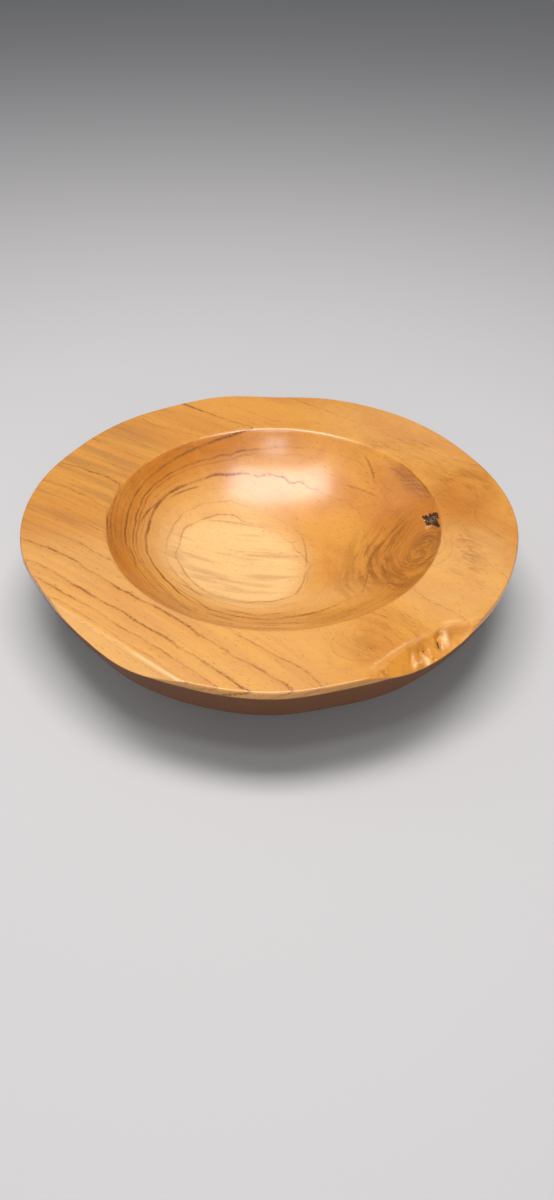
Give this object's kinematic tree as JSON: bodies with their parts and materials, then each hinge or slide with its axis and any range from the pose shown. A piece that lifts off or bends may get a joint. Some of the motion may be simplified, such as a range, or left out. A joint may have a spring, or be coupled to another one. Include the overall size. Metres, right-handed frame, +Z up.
{
  "type": "bowl",
  "caption": "Wide shallow wooden bowl: round turned hollow, broad flat rim with a hand-cut wavy edge, rounded underside on a flat foot, and a dead knot in the wall.",
  "frame": {"origin": "centre of the foot's flat face, on the turning axis of the hollow", "axes": "+Z up along the hollow's axis, out of its mouth; +X to the side where the knot is; the natural bite is towards -Y and +X"},
  "size_m": [0.2991, 0.291, 0.06],
  "materials": {
    "bowl_wood": "oiled and polished, satin",
    "knot_bark": "rough, dead bark",
    "knot_heart": "rough, weathered dead wood"
  },
  "bodies": {
    "root": {"bowl": "bowl_wood", "knot_bark": "knot_bark", "knot_heart": "knot_heart"}
  },
  "joints": []
}
